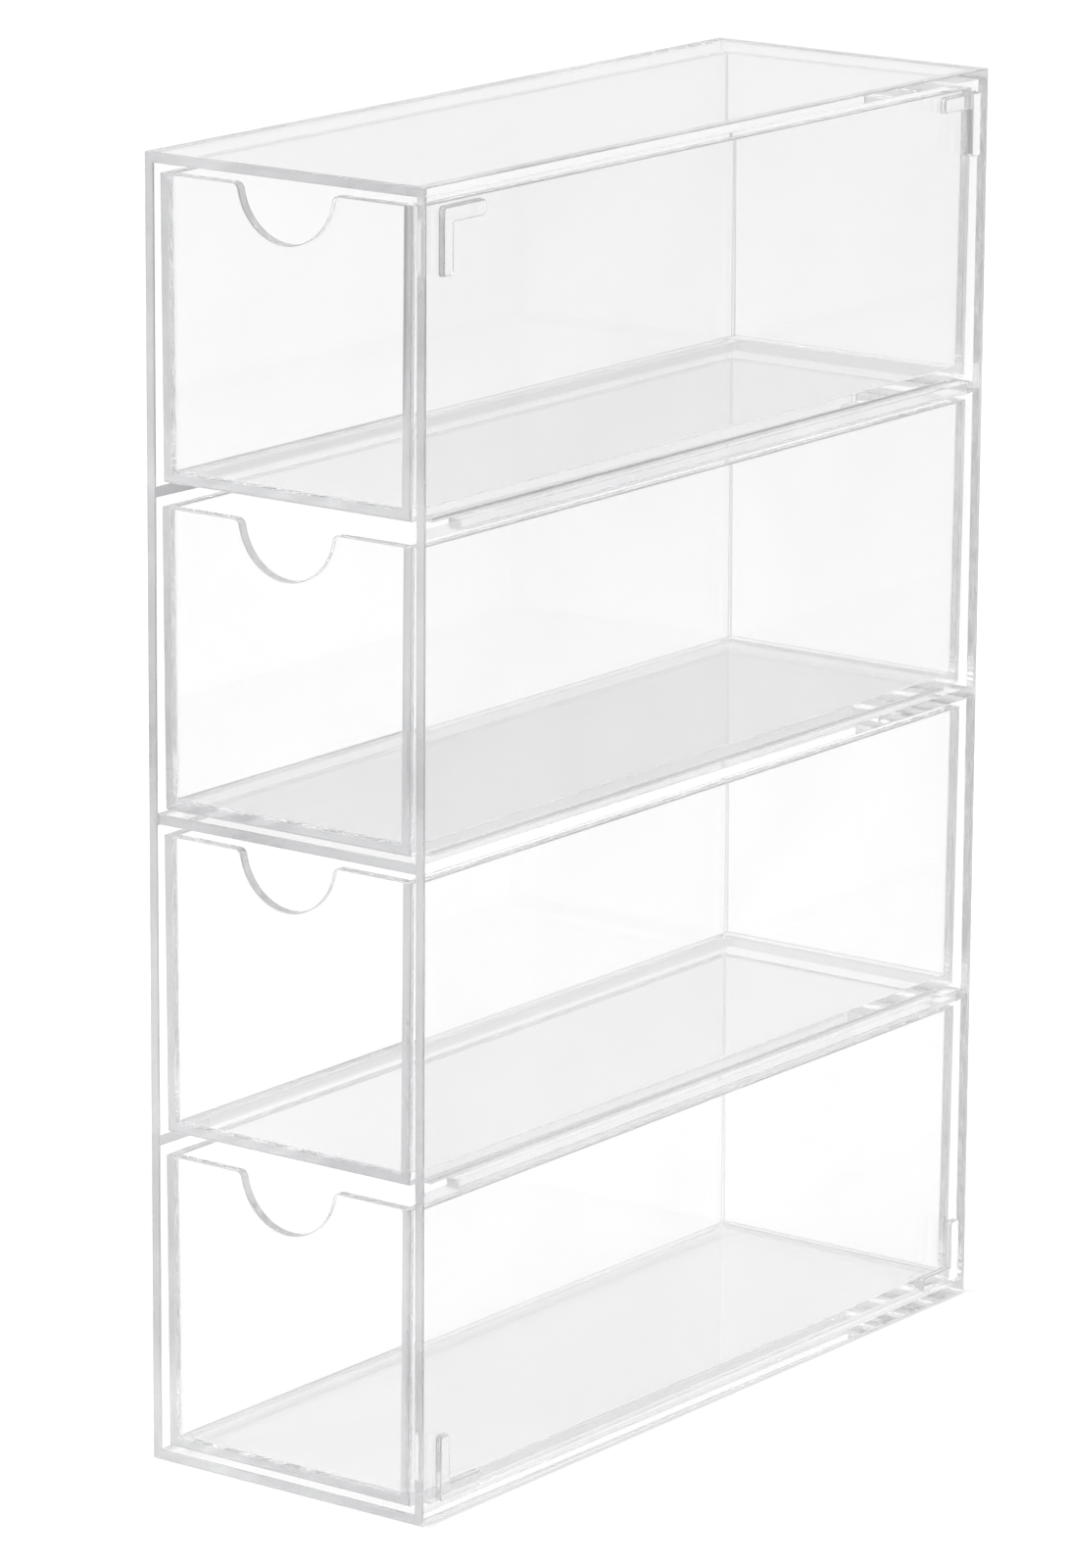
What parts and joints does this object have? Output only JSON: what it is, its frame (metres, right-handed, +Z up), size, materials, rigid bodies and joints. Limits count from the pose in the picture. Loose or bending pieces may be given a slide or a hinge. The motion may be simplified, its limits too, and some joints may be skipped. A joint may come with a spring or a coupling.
{
  "type": "multi glasses organizer",
  "caption": "Tall narrow clear acrylic case with stacked pull-out drawers for eyeglasses, each with a round finger notch in its front.",
  "frame": {"origin": "middle of the bottom panel's underside", "axes": "+Z up, the drawer fronts face -Y and slide out along -Y, +X towards the side panel with the stacking feet"},
  "size_m": [0.0655, 0.18, 0.25],
  "materials": {
    "case_sheet": "crystal-clear polished acrylic sheet",
    "drawer_sheet": "crystal-clear polished acrylic sheet",
    "small_acrylic": "clear acrylic strip with sawn, lightly polished edges"
  },
  "bodies": {
    "case": {"top_panel": "case_sheet", "bottom_panel": "case_sheet", "left_side_panel": "case_sheet", "right_side_panel": "case_sheet", "back_panel": "case_sheet", "middle_shelf": "case_sheet", "ledge_left_upper": "small_acrylic", "ledge_right_upper": "small_acrylic", "ledge_left_lower": "small_acrylic", "ledge_right_lower": "small_acrylic", "side_foot_front_top": "small_acrylic", "side_foot_front_bottom": "small_acrylic", "side_foot_back_top": "small_acrylic", "side_foot_back_bottom": "small_acrylic"},
    "drawer_1": {"drawer_1_front": "drawer_sheet", "drawer_1_back": "drawer_sheet", "drawer_1_left_side": "drawer_sheet", "drawer_1_right_side": "drawer_sheet", "drawer_1_floor": "drawer_sheet"},
    "drawer_2": {"drawer_2_front": "drawer_sheet", "drawer_2_back": "drawer_sheet", "drawer_2_left_side": "drawer_sheet", "drawer_2_right_side": "drawer_sheet", "drawer_2_floor": "drawer_sheet"},
    "drawer_3": {"drawer_3_front": "drawer_sheet", "drawer_3_back": "drawer_sheet", "drawer_3_left_side": "drawer_sheet", "drawer_3_right_side": "drawer_sheet", "drawer_3_floor": "drawer_sheet"},
    "drawer_4": {"drawer_4_front": "drawer_sheet", "drawer_4_back": "drawer_sheet", "drawer_4_left_side": "drawer_sheet", "drawer_4_right_side": "drawer_sheet", "drawer_4_floor": "drawer_sheet"}
  },
  "joints": [
    {"name": "drawer_1_slide", "type": "slide", "parent": "case", "child": "drawer_1", "axis": [0, -1, 0], "range_m": [0, 0.15]},
    {"name": "drawer_2_slide", "type": "slide", "parent": "case", "child": "drawer_2", "axis": [0, -1, 0], "range_m": [0, 0.15]},
    {"name": "drawer_3_slide", "type": "slide", "parent": "case", "child": "drawer_3", "axis": [0, -1, 0], "range_m": [0, 0.15]},
    {"name": "drawer_4_slide", "type": "slide", "parent": "case", "child": "drawer_4", "axis": [0, -1, 0], "range_m": [0, 0.15]}
  ]
}
